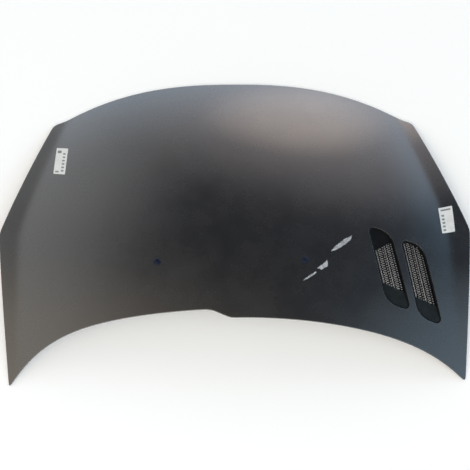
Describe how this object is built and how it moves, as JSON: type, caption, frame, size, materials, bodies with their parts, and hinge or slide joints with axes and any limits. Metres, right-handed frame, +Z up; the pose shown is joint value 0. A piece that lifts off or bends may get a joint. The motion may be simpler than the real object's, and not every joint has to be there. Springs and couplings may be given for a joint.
{
  "type": "car bonnet",
  "caption": "Crowned sheet-metal car bonnet with a hemmed inner frame, recessed mesh air vents, washer jets, hinge pads and a latch striker.",
  "frame": {"origin": "bottom centre of the bounding box, on the surface that the panel lies on", "axes": "+X to the car's right-hand side, +Y to the nose, +Z up out of the painted side"},
  "size_m": [1.413, 0.9756, 0.1213],
  "materials": {
    "paint": "gloss metallic dark grey with clear coat",
    "primer": "satin dark grey under-coat",
    "plastic": "satin black moulded",
    "foam": "matt closed-cell foam",
    "rubber": "matt black",
    "zinc": "zinc plated",
    "steel": "satin coated steel",
    "mastic": "matt grey mastic",
    "jet": "satin blue-black moulded"
  },
  "bodies": {
    "root": {"bump_stop_left": "rubber", "bump_stop_right": "rubber", "hinge_nut_left_a": "zinc", "hinge_nut_left_b": "zinc", "hinge_nut_right_a": "zinc", "hinge_nut_right_b": "zinc", "hinge_pad_left": "steel", "hinge_pad_right": "steel", "inner_frame": "primer", "latch_reinforcement": "steel", "mastic_dab_1": "mastic", "mastic_dab_2": "mastic", "mastic_dab_3": "mastic", "mastic_dab_4": "mastic", "mastic_dab_5": "mastic", "mastic_dab_6": "mastic", "mastic_dab_7": "mastic", "mastic_dab_8": "mastic", "outer_skin": "paint", "striker_base": "zinc", "striker_bolt_left": "zinc", "striker_bolt_right": "zinc", "striker_loop": "zinc", "vent_grille_inner": "plastic", "vent_grille_outer": "plastic", "vent_seal_inner": "foam", "vent_seal_outer": "foam", "washer_jet_left": "jet", "washer_jet_right": "jet"}
  },
  "joints": []
}
